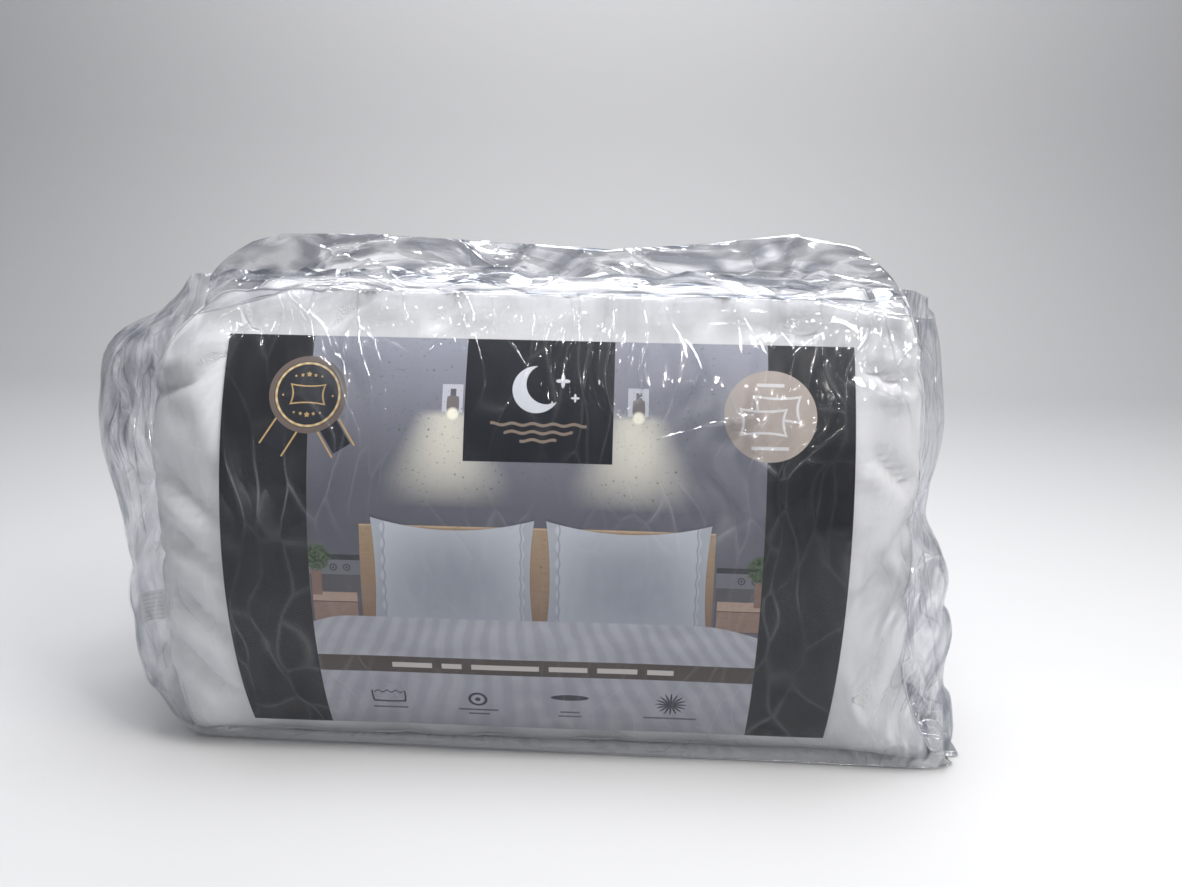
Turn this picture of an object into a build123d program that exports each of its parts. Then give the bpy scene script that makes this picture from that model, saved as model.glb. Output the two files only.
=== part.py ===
from build123d import *
import math
import os

# Retail pack of two bed pillows: the pillows lie face to face and stand on a long edge in a film bag
# with an open mouth at the top, and a printed card lies between the bag's front wall and the front pillow.
# Millimetres. +X to the right, the pack faces -Y, +Z up. The origin is at the middle of the bag's base.

# Bag, modelled as straight walls of thin film
BAG_WIDTH = 800.0
BAG_DEPTH = 282.0
WALL_HEIGHT = 444.0
FILM = 0.6
FLAP_HEIGHT = 46.0
FLAP_GAP = 1.5
FLAP_END_GAP = 6.0
WELD_WIDTH = 4.0
WELD_PROUD = 0.6

# Pillows: a casing of two halves joined at a sewn edge, filled with fibre
PILLOW_LENGTH = 706.0
PILLOW_HEIGHT = 431.0
PILLOW_HALF_DEPTH = 67.0
PILLOW_PLANE = 68.2
OUTER_SHAPE = (7.5, 1.9)
INNER_SHAPE = (7.5, 5.0)
DEPTH_POWER = 1.2
CASING = 0.9
FILL_GAP = 0.25
SEAM_WIDTH = 5.0
SEAM_THICKNESS = 2.4
SEAM_GAP = 0.2
CORNER_RADIUS = 62.0
BASE_CLEARANCE = 1.2

# Closing stitches and care label, both at one end of each pillow
STITCH_LENGTH = 3.2
STITCH_PITCH = 5.0
STITCH_WIDTH = 0.7
STITCH_COUNT = 44
LABEL_WIDTH = 30.0
LABEL_LENGTH = 27.0
LABEL_THICKNESS = 0.4
LABEL_DROP = 90.0

# Printed card, bowed about a level axis so that it wraps the front pillow's belly
CARD_WIDTH = 552.0
CARD_HEIGHT = 390.0
CARD_THICKNESS = 0.5
CARD_RADIUS = 405.0
CARD_OFFSET_X = 8.0
CARD_DROP = 8.0
CARD_GAP = 1.0

PILLOW_MID_Z = FILM + BASE_CLEARANCE + SEAM_WIDTH + PILLOW_HEIGHT / 2
INSIDE_Y = BAG_DEPTH / 2 - FILM
DEPTH_STEPS = (0.0, 0.14, 0.32, 0.52, 0.70, 0.84, 0.94, 0.985)


def save(name, shape):
    """Writes one named piece."""
    shape.label = name
    export_step(shape, f"parts/{name}.step")


def block(width, depth, height, x, y, z):
    """A box given by its size and its centre."""
    return Pos(x, y, z) * Box(width, depth, height)


def bag_pieces():
    """Five film walls and the two weld beads, open at the top."""
    side_depth = BAG_DEPTH - 2 * FILM
    wall_mid = WALL_HEIGHT / 2
    front_y = -(BAG_DEPTH - FILM) / 2
    end_x = (BAG_WIDTH - FILM) / 2
    end_height = WALL_HEIGHT - FILM
    end_mid = FILM + end_height / 2
    save("bag_front_panel", block(BAG_WIDTH, FILM, WALL_HEIGHT, 0, front_y, wall_mid))
    save("bag_back_panel", block(BAG_WIDTH, FILM, WALL_HEIGHT, 0, -front_y, wall_mid))
    save("bag_left_gusset", block(FILM, side_depth, end_height, -end_x, 0, end_mid))
    save("bag_right_gusset", block(FILM, side_depth, end_height, end_x, 0, end_mid))
    save("bag_base_gusset", block(BAG_WIDTH, side_depth, FILM, 0, 0, FILM / 2))
    save("front_weld_seam", weld_bead(-1))
    save("back_weld_seam", weld_bead(1))


def weld_bead(side):
    """A flat U-shaped weld on a wall's outer face, along its two ends and its base."""
    depth_mid = side * (BAG_DEPTH + WELD_PROUD) / 2
    outer = block(BAG_WIDTH, WELD_PROUD, WALL_HEIGHT, 0, depth_mid, WALL_HEIGHT / 2)
    opening = block(
        BAG_WIDTH - 2 * WELD_WIDTH, 3 * WELD_PROUD, WALL_HEIGHT, 0, depth_mid,
        WALL_HEIGHT / 2 + WELD_WIDTH)
    return outer - opening


def mouth_flap():
    """The free upper part of the back wall, upright above its fold line."""
    base_z = WALL_HEIGHT + FLAP_GAP
    width = BAG_WIDTH - 2 * FLAP_END_GAP
    save("mouth_flap", block(width, FILM, FLAP_HEIGHT, 0, (BAG_DEPTH - FILM) / 2, base_z + FLAP_HEIGHT / 2))


def outline(depth_share, shrink, powers, plane_y):
    """One upright section of a pillow half: a rounded rectangle that shrinks towards the crown."""
    room = 1 - depth_share ** DEPTH_POWER
    half_length = (PILLOW_LENGTH / 2 - shrink) * room ** (1 / powers[0])
    half_height = (PILLOW_HEIGHT / 2 - shrink) * room ** (1 / powers[1])
    radius = min(CORNER_RADIUS - shrink, 0.72 * half_height)
    plane = Plane(origin=(0, plane_y, PILLOW_MID_Z), x_dir=(1, 0, 0), z_dir=(0, -1, 0))
    return plane * RectangleRounded(2 * half_length, 2 * half_height, radius)


def pillow_half(middle_y, direction, powers, shrink):
    """A crowned half from the seam plane outwards; shrink gives the layers inside the casing."""
    reach = PILLOW_HALF_DEPTH - shrink
    sections = [
        outline(share, shrink, powers, middle_y + direction * reach * share)
        for share in DEPTH_STEPS]
    return loft(sections, ruled=True)


def casing_half(middle_y, direction, powers):
    """One half of the cotton casing, a thin shell that is open at the seam plane."""
    return pillow_half(middle_y, direction, powers, 0.0) - pillow_half(middle_y, direction, powers, CASING)


def edge_seam(middle_y):
    """The sewn edge round the pillow, where both halves are turned in and joined."""
    plane = Plane(origin=(0, middle_y, PILLOW_MID_Z), x_dir=(1, 0, 0), z_dir=(0, -1, 0))
    outer = RectangleRounded(
        PILLOW_LENGTH + 2 * SEAM_WIDTH, PILLOW_HEIGHT + 2 * SEAM_WIDTH, CORNER_RADIUS + SEAM_WIDTH)
    inner = RectangleRounded(
        PILLOW_LENGTH + 2 * SEAM_GAP, PILLOW_HEIGHT + 2 * SEAM_GAP, CORNER_RADIUS + SEAM_GAP)
    return extrude(plane * (outer - inner), SEAM_THICKNESS / 2, both=True)


def closing_stitch(middle_y, end):
    """A row of straight stitches on the sewn edge at one end of the pillow."""
    x = end * (PILLOW_LENGTH + SEAM_WIDTH) / 2
    y = middle_y - (SEAM_THICKNESS + STITCH_WIDTH) / 2
    start = PILLOW_MID_Z - STITCH_PITCH * (STITCH_COUNT - 1) / 2
    row = [
        block(STITCH_WIDTH, STITCH_WIDTH, STITCH_LENGTH, x, y, start + i * STITCH_PITCH)
        for i in range(STITCH_COUNT)]
    return Compound(children=row)


def care_label(middle_y, end):
    """A small woven label that stands out of the sewn edge."""
    x = end * (PILLOW_LENGTH / 2 + SEAM_WIDTH + SEAM_GAP + LABEL_LENGTH / 2)
    return block(LABEL_LENGTH, LABEL_THICKNESS, LABEL_WIDTH, x, middle_y, PILLOW_MID_Z - LABEL_DROP)


def pillow(name, side):
    """All six pieces of one pillow; side is -1 for the front one and 1 for the rear one."""
    middle_y = side * PILLOW_PLANE
    outward = casing_half(middle_y, side, OUTER_SHAPE)
    inward = casing_half(middle_y, -side, INNER_SHAPE)
    core_shrink = CASING + FILL_GAP
    core = pillow_half(middle_y, side, OUTER_SHAPE, core_shrink)
    core += pillow_half(middle_y, -side, INNER_SHAPE, core_shrink)
    save(f"{name}_casing_front", outward if side < 0 else inward)
    save(f"{name}_casing_back", inward if side < 0 else outward)
    save(f"{name}_fibre_core", core)
    save(f"{name}_edge_seam", edge_seam(middle_y))
    save(f"{name}_closing_stitch", closing_stitch(middle_y, -side))
    save(f"{name}_care_label", care_label(middle_y, side))


def insert_card():
    """The printed card: a thin arc in side view, as wide as the print."""
    half_angle = math.degrees(CARD_HEIGHT / 2 / CARD_RADIUS)
    front_y = -INSIDE_Y + CARD_GAP
    centre = (front_y + CARD_RADIUS, PILLOW_MID_Z - CARD_DROP)
    side_view = Plane(origin=(CARD_OFFSET_X, 0, 0), x_dir=(0, 1, 0), z_dir=(1, 0, 0))
    arc = CenterArc(centre, CARD_RADIUS, 180 - half_angle, 2 * half_angle)
    inner_arc = CenterArc(centre, CARD_RADIUS - CARD_THICKNESS, 180 - half_angle, 2 * half_angle)
    rim = [
        arc, inner_arc,
        Line(arc @ 0, inner_arc @ 0),
        Line(arc @ 1, inner_arc @ 1)]
    section = make_face(Wire(rim))
    save("insert_card", extrude(side_view * section, CARD_WIDTH / 2, both=True))


os.makedirs("parts", exist_ok=True)
bag_pieces()
mouth_flap()
insert_card()
pillow("front", -1)
pillow("rear", 1)
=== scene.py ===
import math
import bpy
import numpy as np
from mathutils import Matrix, Vector, noise
from mathutils.bvhtree import BVHTree


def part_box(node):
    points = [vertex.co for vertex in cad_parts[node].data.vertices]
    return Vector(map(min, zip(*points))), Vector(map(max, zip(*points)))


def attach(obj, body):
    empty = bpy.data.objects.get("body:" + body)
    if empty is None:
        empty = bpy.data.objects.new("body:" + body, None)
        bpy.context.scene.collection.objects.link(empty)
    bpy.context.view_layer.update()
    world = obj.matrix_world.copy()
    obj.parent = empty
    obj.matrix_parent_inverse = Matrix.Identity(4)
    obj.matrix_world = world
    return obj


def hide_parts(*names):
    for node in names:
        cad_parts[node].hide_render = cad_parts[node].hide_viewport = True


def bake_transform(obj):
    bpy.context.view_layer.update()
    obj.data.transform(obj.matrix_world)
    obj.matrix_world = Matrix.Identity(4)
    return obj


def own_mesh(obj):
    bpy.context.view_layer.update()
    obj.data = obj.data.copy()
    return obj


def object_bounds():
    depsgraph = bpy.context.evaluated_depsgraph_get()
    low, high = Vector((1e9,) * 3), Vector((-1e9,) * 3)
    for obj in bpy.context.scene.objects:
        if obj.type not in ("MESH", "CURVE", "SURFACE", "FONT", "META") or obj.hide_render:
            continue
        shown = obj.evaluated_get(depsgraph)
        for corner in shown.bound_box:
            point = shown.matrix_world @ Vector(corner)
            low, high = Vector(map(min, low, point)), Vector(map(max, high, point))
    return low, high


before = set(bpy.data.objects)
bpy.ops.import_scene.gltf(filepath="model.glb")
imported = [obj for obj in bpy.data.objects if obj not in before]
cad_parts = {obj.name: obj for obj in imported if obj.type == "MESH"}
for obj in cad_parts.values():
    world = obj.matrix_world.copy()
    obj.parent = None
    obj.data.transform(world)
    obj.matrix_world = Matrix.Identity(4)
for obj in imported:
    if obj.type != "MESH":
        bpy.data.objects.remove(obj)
cad_low, cad_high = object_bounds()
MM = 0.001

# Studio ---------------------------------------------------------------------------------------
# A pale floor that curves up into a pale wall, large soft lamps above, and a few small bright ones
# that give the film its glints. The camera stands a little above the pack's mouth and looks down.
CAMERA_PLACE = (0.081, -0.885, 0.483)
CAMERA_TURN = (math.radians(12.3), math.radians(1.82), math.radians(1.09))
CAMERA_LENS = 27.4
WALL_START = 7.2
WALL_RADIUS = 1.0
GLINTS = (
    (0.9, -1.0, 1.6), (-0.4, -1.5, 1.9), (0.2, -0.6, 2.1),
    (1.8, -0.8, 0.9), (-1.2, -1.0, 1.9), (0.5, -2.0, 1.4))
GLINT_POWER = 2.2


def camera_axes(dip, swing, roll):
    """The camera's right, up and back directions: it faces +Y, swung to the left, dipped and rolled."""
    ahead = Vector((-math.sin(swing) * math.cos(dip), math.cos(swing) * math.cos(dip), -math.sin(dip)))
    level = Vector((math.cos(swing), math.sin(swing), 0))
    upright = level.cross(ahead)
    right = level * math.cos(roll) + upright * math.sin(roll)
    return right, right.cross(ahead), -ahead


def add_camera():
    """The one camera, with no shift and no depth of field."""
    data = bpy.data.cameras.new("camera")
    data.lens = CAMERA_LENS
    data.clip_start = 0.01
    camera = bpy.data.objects.new("camera", data)
    bpy.context.scene.collection.objects.link(camera)
    right, up, back = camera_axes(*CAMERA_TURN)
    turn = Matrix((right, up, back)).transposed().to_4x4()
    camera.matrix_world = Matrix.Translation(CAMERA_PLACE) @ turn
    bpy.context.scene.camera = camera


def add_lamp(name, place, target, size, power, colour):
    """One rectangular lamp that faces its target."""
    data = bpy.data.lights.new(name, "AREA")
    data.shape = "RECTANGLE"
    data.size, data.size_y = size
    data.energy = power
    data.color = colour
    lamp = bpy.data.objects.new(name, data)
    bpy.context.scene.collection.objects.link(lamp)
    lamp.location = place
    lamp.rotation_mode = "QUATERNION"
    lamp.rotation_quaternion = (Vector(place) - Vector(target)).to_track_quat("Z", "Y")


def add_studio():
    """Floor, world and lamps."""
    bpy.ops.mesh.primitive_grid_add(x_subdivisions=1, y_subdivisions=48, size=2)
    floor = bpy.context.object
    floor.name = "floor"
    run = (np.array([v.co.y for v in floor.data.vertices]) + 1) * 5.0
    turn = np.clip((run - WALL_START) / WALL_RADIUS, 0, math.pi / 2)
    risen = np.maximum(run - WALL_START - WALL_RADIUS * math.pi / 2, 0)
    for vertex, gone, angle, rise in zip(floor.data.vertices, run, turn, risen):
        vertex.co.x *= 8
        vertex.co.y = min(gone, WALL_START) + WALL_RADIUS * math.sin(angle) - 5.0
        vertex.co.z = WALL_RADIUS * (1 - math.cos(angle)) + rise
    bpy.ops.object.shade_smooth()
    paint = bpy.data.materials.new("floor_paint")
    paint.use_nodes = True
    surface = paint.node_tree.nodes["Principled BSDF"]
    surface.inputs["Base Color"].default_value = (0.54, 0.54, 0.55, 1)
    surface.inputs["Roughness"].default_value = 0.8
    floor.data.materials.append(paint)
    world = bpy.data.worlds.new("world")
    world.use_nodes = True
    world.node_tree.nodes["Background"].inputs[0].default_value = (0.93, 0.95, 1, 1)
    world.node_tree.nodes["Background"].inputs[1].default_value = 0.33
    bpy.context.scene.world = world
    middle = (0, 0, 0.22)
    add_lamp("soft_key", (1.1, -0.8, 2.0), middle, (0.8, 0.6), 30, (1, 0.98, 0.95))
    add_lamp("soft_top", (0.1, -0.1, 2.1), middle, (1.4, 0.8), 36, (0.95, 0.97, 1))
    add_lamp("wall_wash", (0, 1.6, 3.4), (0, 3.4, 0.9), (3.0, 0.4), 70, (1, 1, 1))
    for number, place in enumerate(GLINTS):
        add_lamp(f"glint_{number}", place, middle, (0.06, 0.06), GLINT_POWER, (1, 0.96, 0.88))


bpy.context.scene.view_settings.view_transform = "Standard"
bpy.ops.object.select_all(action="DESELECT")
add_camera()
add_studio()

# Pillows --------------------------------------------------------------------------------------
# Two bed pillows, face to face on their long edges. A casing is two pieces of white cotton, cut
# 740 x 480 mm, sewn together all round, filled with fibre and closed with a row of stitches.
CUT_LENGTH = 0.740
CUT_HEIGHT = 0.480
CUT_CELLS = (92, 60)
FILL_FRAMES = 30
CORNER_CUTS = {(-1, 1): (0.23, 0.07), (1, 1): (0.10, 0.03), (-1, -1): (0.07, 0.03), (1, -1): (-0.10, 0.0)}
CORNER_SHARPNESS = 5
BACK_POWERS = (7.5, 5.0)
FRONT_POWERS = (7.5, 1.9)
CARD_RADIUS = 0.405
# Soft folds in the front pillow's near face: both ends (x, z), width and depth, in mm
FRONT_FOLDS = (
    (-356, 285, -268, 232, 13, 6), (-356, 226, -262, 182, 12, 5), (-352, 168, -262, 118, 14, 6),
    (-345, 112, -250, 34, 13, 6), (-245, 424, -292, 366, 10, 7), (-292, 366, -352, 345, 10, 5),
    (-190, 404, -140, 446, 13, 6), (-95, 404, -60, 446, 12, 4), (150, 408, 175, 446, 11, 5),
    (185, 416, 258, 418, 8, 8), (258, 418, 276, 394, 8, 8), (276, 394, 345, 366, 9, 8),
    (302, 440, 318, 392, 9, 5), (300, 318, 352, 270, 12, 5), (352, 244, 298, 168, 13, 5),
    (362, 226, 308, 62, 14, 7), (382, 190, 342, 24, 14, 6), (292, 130, 326, 40, 14, 4))
REAR_LOBES = (-0.300, -0.232, -0.160, 0.05, 0.21)
START_BULGE = 0.012
CREASE_SIZE = 0.55
CASING_LOW = 0.0030


def coordinates(obj):
    """Every vertex of a mesh object as rows of a numpy array."""
    rows = np.empty(len(obj.data.vertices) * 3, np.float32)
    obj.data.vertices.foreach_get("co", rows)
    return rows.reshape(-1, 3).astype(float)


def put_coordinates(obj, rows):
    """Moves every vertex of a mesh object to its row."""
    obj.data.vertices.foreach_set("co", rows.astype(np.float32).ravel())
    obj.data.update()


def pick(obj):
    """Leaves one object selected and active."""
    bpy.ops.object.select_all(action="DESELECT")
    obj.select_set(True)
    bpy.context.view_layer.objects.active = obj


def flat_grid(name, cells, size=1):
    """A square grid at the origin, and its vertices' places."""
    bpy.ops.object.select_all(action="DESELECT")
    bpy.ops.mesh.primitive_grid_add(x_subdivisions=cells[0], y_subdivisions=cells[1], size=size)
    grid = bpy.context.object
    grid.name = name
    return grid, coordinates(grid)


def cut_and_sew(name):
    """The empty casing, lying flat in the XZ plane: two grids that share their border."""
    cover = flat_grid(name, CUT_CELLS, size=2)[0]
    bpy.ops.object.mode_set(mode="EDIT")
    bpy.ops.mesh.select_all(action="SELECT")
    bpy.ops.transform.resize(value=(CUT_LENGTH / 2, CUT_HEIGHT / 2, 1))
    bpy.ops.object.mode_set(mode="OBJECT")
    flat = coordinates(cover)
    across, up = 2 * flat[:, 0] / CUT_LENGTH, 2 * flat[:, 1] / CUT_HEIGHT
    room = np.sqrt(np.clip((1 - across ** 2) * (1 - up ** 2), 0, 1))
    put_coordinates(cover, np.column_stack([flat[:, 0], -START_BULGE * room, flat[:, 1]]))
    bpy.ops.object.mode_set(mode="EDIT")
    bpy.ops.mesh.select_all(action="SELECT")
    bpy.ops.mesh.duplicate()
    bpy.ops.transform.resize(value=(1, -1, 1), center_override=(0, 0, 0))
    bpy.ops.mesh.select_all(action="SELECT")
    bpy.ops.mesh.remove_doubles(threshold=1e-5)
    bpy.ops.mesh.normals_make_consistent(inside=False)
    bpy.ops.object.mode_set(mode="OBJECT")
    return cover


def fill(cover, seed):
    """Blows the sewn casing up as its filling does, which puckers it along the seam."""
    ripple = np.random.default_rng(seed).uniform(0, 6, 4)
    start = coordinates(cover)
    start[:, 1] += 0.0015 * np.sin(60 * start[:, 0] + ripple[0]) * np.cos(50 * start[:, 2] + ripple[1])
    put_coordinates(cover, start)
    cloth = cover.modifiers.new("cloth", "CLOTH")
    settings = cloth.settings
    settings.quality = 6
    settings.mass = 0.15
    settings.tension_stiffness = 40
    settings.compression_stiffness = 40
    settings.shear_stiffness = 20
    settings.bending_stiffness = 0.3
    settings.tension_damping = 10
    settings.compression_damping = 10
    settings.shear_damping = 10
    settings.use_pressure = True
    settings.uniform_pressure_force = 3
    settings.use_pressure_volume = True
    settings.target_volume = 0.030
    settings.pressure_factor = 3
    settings.effector_weights.gravity = 0
    settings.air_damping = 3
    cloth.collision_settings.use_collision = False
    cloth.point_cache.frame_end = FILL_FRAMES
    for step in range(1, FILL_FRAMES + 1):
        bpy.context.scene.frame_set(step)
    bpy.context.view_layer.objects.active = cover
    bpy.ops.object.modifier_apply(modifier="cloth")
    bpy.context.scene.frame_set(1)


def smooth(rows, pairs, rounds):
    """Averages each vertex with its neighbours, which leaves the broad shape and drops the creases."""
    count = np.bincount(pairs.ravel(), minlength=len(rows))[:, None]
    for _ in range(rounds):
        total = np.zeros_like(rows)
        np.add.at(total, pairs[:, 0], rows[pairs[:, 1]])
        np.add.at(total, pairs[:, 1], rows[pairs[:, 0]])
        rows = 0.5 * rows + 0.5 * total / count
    return rows


def edge_pairs(obj):
    """The two vertices of every edge."""
    rows = np.empty(len(obj.data.edges) * 2, np.int32)
    obj.data.edges.foreach_get("vertices", rows)
    return rows.reshape(-1, 2)


def packed_form(flat, side, half_size, reach, middle, powers):
    """Where each point of the flat casing lies once the pillow is packed: a rectangle with pulled-in
    corners that is crowned on both faces. side is -1 on the front face and 1 on the back one."""
    across, up = 2 * flat[:, 0] / CUT_LENGTH, 2 * flat[:, 2] / CUT_HEIGHT
    share = np.maximum(np.maximum(abs(across), abs(up)), 1e-9)
    border_x, border_z = across / share, up / share
    out_x, out_z = border_x.copy(), border_z.copy()
    for (hand, end), (cut_x, cut_z) in CORNER_CUTS.items():
        near = (np.clip(hand * border_x, 0, 1) * np.clip(end * border_z, 0, 1)) ** CORNER_SHARPNESS
        out_x *= 1 - cut_x * near
        out_z *= 1 - cut_z * near
    level = abs(out_x) ** 4 / (abs(out_x) ** 4 + abs(out_z) ** 4 + 1e-9)
    power = np.where(side < 0, *[p[0] * level + p[1] * (1 - level) for p in powers])
    spread = share ** 0.93
    depth = np.clip(1 - spread ** power, 0, 1) ** (1 / 1.2)
    return np.column_stack([
        out_x * spread * half_size[0],
        middle[1] + side * reach * depth,
        middle[2] + out_z * spread * half_size[1]])


def fold_depth(rows, folds):
    """How far each point sinks into the folds that run near it, with a soft roll on one side of each."""
    sink = np.zeros(len(rows))
    for x0, z0, x1, z1, width, depth in np.array(folds) * MM:
        length = math.hypot(x1 - x0, z1 - z0)
        along = ((rows[:, 0] - x0) * (x1 - x0) + (rows[:, 2] - z0) * (z1 - z0)) / length ** 2
        off = ((rows[:, 0] - x0) * (z1 - z0) - (rows[:, 2] - z0) * (x1 - x0)) / length / width
        fade = np.clip(1 - (2 * along - 1) ** 4, 0, 1) * ((along > 0) & (along < 1))
        sink += 2 * depth * fade * (np.exp(-2.8 * off ** 2) - 0.5 * np.exp(-1.2 * (off - 1.5) ** 2))
    return sink


def card_depth(height):
    """How far back the bowed card's front lies at a height above the floor."""
    low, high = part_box("insert_card")
    off = np.minimum(abs(height - (low.z + high.z) / 2), 0.24)
    return low.y + CARD_RADIUS - np.sqrt(CARD_RADIUS ** 2 - off ** 2)


def behind_card(rows):
    """Depths that stay behind the bowed card, with a soft return to the free shape round its edges."""
    low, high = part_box("insert_card")
    card_y = card_depth(rows[:, 2]) + 0.0034
    out_x = np.maximum(low.x - rows[:, 0], rows[:, 0] - high.x)
    out_z = np.maximum(low.z - rows[:, 2], rows[:, 2] - high.z)
    beyond = np.clip(np.maximum(out_x, out_z) / 0.03, 0, 1)
    limit = card_y - 0.012 * beyond ** 1.5
    return np.maximum(rows[:, 1], limit)


def make_pillow(name, seed):
    """One filled casing, in the place of the CAD pillow of that name."""
    low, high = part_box(name + "_edge_seam")
    core_low, core_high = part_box(name + "_fibre_core")
    middle = (low + high) / 2
    half_size = ((high.x - low.x) / 2, (high.z - low.z) / 2)
    reach = (core_high.y - core_low.y) / 2 + 0.0015
    cover = cut_and_sew(name + "_casing")
    flat = coordinates(cover)
    side = np.sign(flat[:, 1])
    pairs = edge_pairs(cover)
    crease = np.zeros_like(flat)
    fill(cover, seed)
    blown = coordinates(cover)
    crease = (blown - smooth(blown, pairs, 70)) * CREASE_SIZE
    crease -= smooth(crease, pairs, 70)
    outward = -1 if middle.y < 0 else 1
    powers = (FRONT_POWERS, BACK_POWERS) if outward < 0 else (BACK_POWERS, FRONT_POWERS)
    form = packed_form(flat, side, half_size, reach, middle, powers) + crease
    put_coordinates(cover, form)
    normals = np.array([n.vector[:] for n in cover.data.vertex_normals])
    if outward < 0:
        form -= normals * (fold_depth(form, FRONT_FOLDS) * (side < 0))[:, None]
        form[:, 1] = behind_card(form)
    else:
        top = np.clip((form[:, 2] - 0.30) / 0.13, 0, 1) ** 2
        form[:, 2] += top * sum(0.015 * np.exp(-((form[:, 0] - x) / 0.026) ** 2) for x in REAR_LOBES)
    form[:, 2] = np.maximum(form[:, 2], CASING_LOW)
    put_coordinates(cover, form)
    share = np.maximum(abs(2 * flat[:, 0] / CUT_LENGTH), abs(2 * flat[:, 2] / CUT_HEIGHT))
    rim = np.flatnonzero(share > 0.9999)
    rim = rim[np.argsort(np.arctan2(flat[rim, 2], flat[rim, 0]))]
    casing_rims[name] = form[rim]
    pick(cover)
    bpy.ops.object.shade_smooth()
    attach(cover, name + "_pillow")
    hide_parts(name + "_casing_front", name + "_casing_back")
    return cover


casing_rims = {}
front_pillow = make_pillow("front", 3)
rear_pillow = make_pillow("rear", 8)

# Cotton, filling, seams, stitches and labels --------------------------------------------------
# Plain white cotton, closed by a sewn seam all round. One end was left open for the fibre filling
# and then closed by hand-spaced stitches. A folded care label is caught in the other end.
SEAM_RADIUS = 0.0015
STITCHES = 44
STITCH_PITCH = 0.005
STITCH_LENGTH = 0.0034
STITCH_RADIUS = 0.00045
LABEL_CELLS = (16, 12)
LABEL_CURL = math.radians(68)


class Value:
    """One socket of a node tree: sums and products of values add their own Math nodes."""

    def __init__(self, tree, socket):
        self.tree, self.socket = tree, socket

    def node(self, kind, settings=(), inputs=(), output=0):
        """Adds a node of any kind, with its settings first and then its inputs' values or links."""
        made = self.tree.nodes.new(kind)
        for key, value in dict(settings).items():
            if key == "stops":
                made.color_ramp.elements[0].position, made.color_ramp.elements[0].color = value[0]
                made.color_ramp.elements[1].position, made.color_ramp.elements[1].color = value[-1]
                for place, colour in value[1:-1]:
                    made.color_ramp.elements.new(place).color = colour
            else:
                setattr(made, key, value)
        for key, value in dict(inputs).items():
            if isinstance(value, Value):
                self.tree.links.new(value.socket, made.inputs[key])
            else:
                made.inputs[key].default_value = value
        return Value(self.tree, made.outputs[output])

    def math(self, operation, *others, clamp=False):
        return self.node(
            "ShaderNodeMath", {"operation": operation, "use_clamp": clamp}, enumerate((self, *others)))

    def __add__(self, other):
        return self.math("ADD", other)

    def __sub__(self, other):
        return self.math("SUBTRACT", other)

    def __rsub__(self, other):
        return self.node("ShaderNodeMath", {"operation": "SUBTRACT"}, {0: other, 1: self})

    def __mul__(self, other):
        return self.math("MULTIPLY", other)

    def __truediv__(self, other):
        return self.math("DIVIDE", other)

    def __pow__(self, other):
        return self.math("POWER", other)

    __radd__ = __add__
    __rmul__ = __mul__

    def clamped(self):
        return self.math("ADD", 0.0, clamp=True)


def mix(mask, under, over):
    """Colour under where mask is 0, and over where it is 1."""
    return mask.node(
        "ShaderNodeMix", {"data_type": "RGBA"}, {0: mask, 6: under, 7: over}, output=2)


def new_material(name):
    """An empty node material: its tree's start value and its Principled shader."""
    material = bpy.data.materials.new(name)
    material.use_nodes = True
    tree = material.node_tree
    return material, Value(tree, None), tree.nodes["Principled BSDF"]


def feed(start, shader, **inputs):
    """Links values to the shader's sockets, or sets plain numbers and colours on them."""
    for name, value in inputs.items():
        socket = shader.inputs[name.replace("_", " ")]
        if isinstance(value, Value):
            start.tree.links.new(value.socket, socket)
        else:
            socket.default_value = value


def cotton_finish():
    """White cotton: a plain weave, faint satin stripes across, and a little unevenness in tone."""
    material, start, shader = new_material("white_cotton")
    place = start.node("ShaderNodeUVMap", {"uv_map": "UVMap"})
    across = place.node("ShaderNodeSeparateXYZ", (), {0: place}) * CUT_LENGTH
    up = place.node("ShaderNodeSeparateXYZ", (), {0: place}, output=1) * CUT_HEIGHT
    warp = (across * (math.tau / 0.0011)).math("SINE")
    weft = (up * (math.tau / 0.0011)).math("SINE")
    stripe = (across * (1 / 0.022)).math("PINGPONG", 0.5).math("MULTIPLY_ADD", 14, -3.0, clamp=True)
    body = start.node("ShaderNodeTexCoord", output=3)
    slub = body.node("ShaderNodeTexNoise", (), {"Vector": body, "Scale": 420.0, "Detail": 2.0})
    soft = body.node("ShaderNodeTexNoise", (), {"Vector": body, "Scale": 11.0, "Detail": 3.0})
    wrinkle = body.node("ShaderNodeTexNoise", (), {"Vector": body, "Scale": 34.0, "Detail": 4.0})
    colour = mix(soft, (0.765, 0.765, 0.775, 1), (0.80, 0.795, 0.795, 1))
    colour = mix(stripe * 0.3, colour, (0.83, 0.83, 0.84, 1))
    height = warp * weft * 0.10 + slub * 0.4 + wrinkle * 1.5
    bump = height.node("ShaderNodeBump", (), {"Strength": 0.35, "Distance": 0.0015, "Height": height})
    feed(start, shader, Base_Color=colour, Roughness=0.82 - stripe * 0.14, Normal=bump,
         Sheen_Weight=0.25, Sheen_Roughness=0.4)
    return material


def edge_finish():
    """The same cotton where it is turned in along the seam, a little darker between its stitches, which is
    painted shade in its gathers.
    """
    material, start, shader = new_material("seam_cotton")
    body = start.node("ShaderNodeTexCoord", output=3)
    gather_and_painted_shade = body.node("ShaderNodeTexNoise", (), {"Vector": body, "Scale": 210.0, "Detail": 2.0})
    bump = gather_and_painted_shade.node("ShaderNodeBump", (), {"Strength": 0.4, "Distance": 0.0006, "Height": gather_and_painted_shade})
    # Painted shade: the colour is darker where the gathers' bump dips
    colour = mix(gather_and_painted_shade, (0.62, 0.63, 0.66, 1), (0.80, 0.805, 0.82, 1))
    feed(start, shader, Base_Color=colour, Roughness=0.85, Normal=bump)
    return material


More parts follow.
